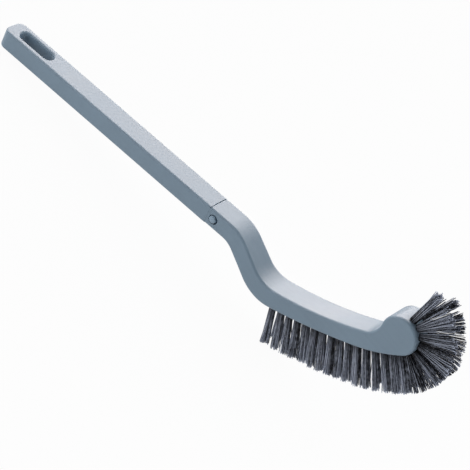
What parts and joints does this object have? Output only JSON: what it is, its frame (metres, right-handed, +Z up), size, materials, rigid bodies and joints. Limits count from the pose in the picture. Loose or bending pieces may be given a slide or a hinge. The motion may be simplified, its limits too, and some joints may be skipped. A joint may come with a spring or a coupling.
{
  "type": "toilet brush",
  "caption": "Long toilet brush: a straight handle with a hang slot snaps into a goose-neck head whose stiff bristles line the bed and fan out round the end knob.",
  "frame": {"origin": "centre of the footprint on the surface that the brush lies on, bristles down", "axes": "+X from the handle end to the brush head, +Y across the brush to its left side, +Z up"},
  "size_m": [0.3636, 0.02, 0.1349],
  "materials": {
    "body_plastic": "satin slate-blue moulded polypropylene",
    "bristle_nylon": "charcoal nylon filament",
    "steel": "bright spring strip and anchor wire"
  },
  "bodies": {
    "handle": {"handle_grip": "body_plastic", "button_spring": "steel"},
    "button": {"snap_button": "body_plastic"},
    "brush_head": {"head_body": "body_plastic", "bristles_right_bed": "bristle_nylon", "bristles_right_fan": "bristle_nylon", "bristles_left_bed": "bristle_nylon", "bristles_left_fan": "bristle_nylon", "tuft_anchor_right_01": "steel", "tuft_anchor_right_02": "steel", "tuft_anchor_right_03": "steel", "tuft_anchor_right_04": "steel", "tuft_anchor_right_05": "steel", "tuft_anchor_right_06": "steel", "tuft_anchor_right_07": "steel", "tuft_anchor_right_08": "steel", "tuft_anchor_right_09": "steel", "tuft_anchor_right_10": "steel", "tuft_anchor_right_11": "steel", "tuft_anchor_right_12": "steel", "tuft_anchor_right_13": "steel", "tuft_anchor_right_14": "steel", "tuft_anchor_right_15": "steel", "tuft_anchor_right_16": "steel", "tuft_anchor_right_17": "steel", "tuft_anchor_right_18": "steel", "tuft_anchor_right_19": "steel", "tuft_anchor_right_20": "steel", "tuft_anchor_right_21": "steel", "tuft_anchor_right_22": "steel", "tuft_anchor_left_01": "steel", "tuft_anchor_left_02": "steel", "tuft_anchor_left_03": "steel", "tuft_anchor_left_04": "steel", "tuft_anchor_left_05": "steel", "tuft_anchor_left_06": "steel", "tuft_anchor_left_07": "steel", "tuft_anchor_left_08": "steel", "tuft_anchor_left_09": "steel", "tuft_anchor_left_10": "steel", "tuft_anchor_left_11": "steel", "tuft_anchor_left_12": "steel", "tuft_anchor_left_13": "steel", "tuft_anchor_left_14": "steel", "tuft_anchor_left_15": "steel", "tuft_anchor_left_16": "steel", "tuft_anchor_left_17": "steel", "tuft_anchor_left_18": "steel", "tuft_anchor_left_19": "steel", "tuft_anchor_left_20": "steel", "tuft_anchor_left_21": "steel"}
  },
  "joints": [
    {"name": "button_press", "type": "slide", "parent": "handle", "child": "button", "axis": [0, 1, 0], "range_m": [0, 0.0032], "stiffness_N_per_m": 1500, "deforming": ["button_spring"]},
    {"name": "head_pull_off", "type": "slide", "parent": "handle", "child": "brush_head", "axis": [0.9844, 0, 0.1759], "range_m": [0, 0.06]}
  ]
}
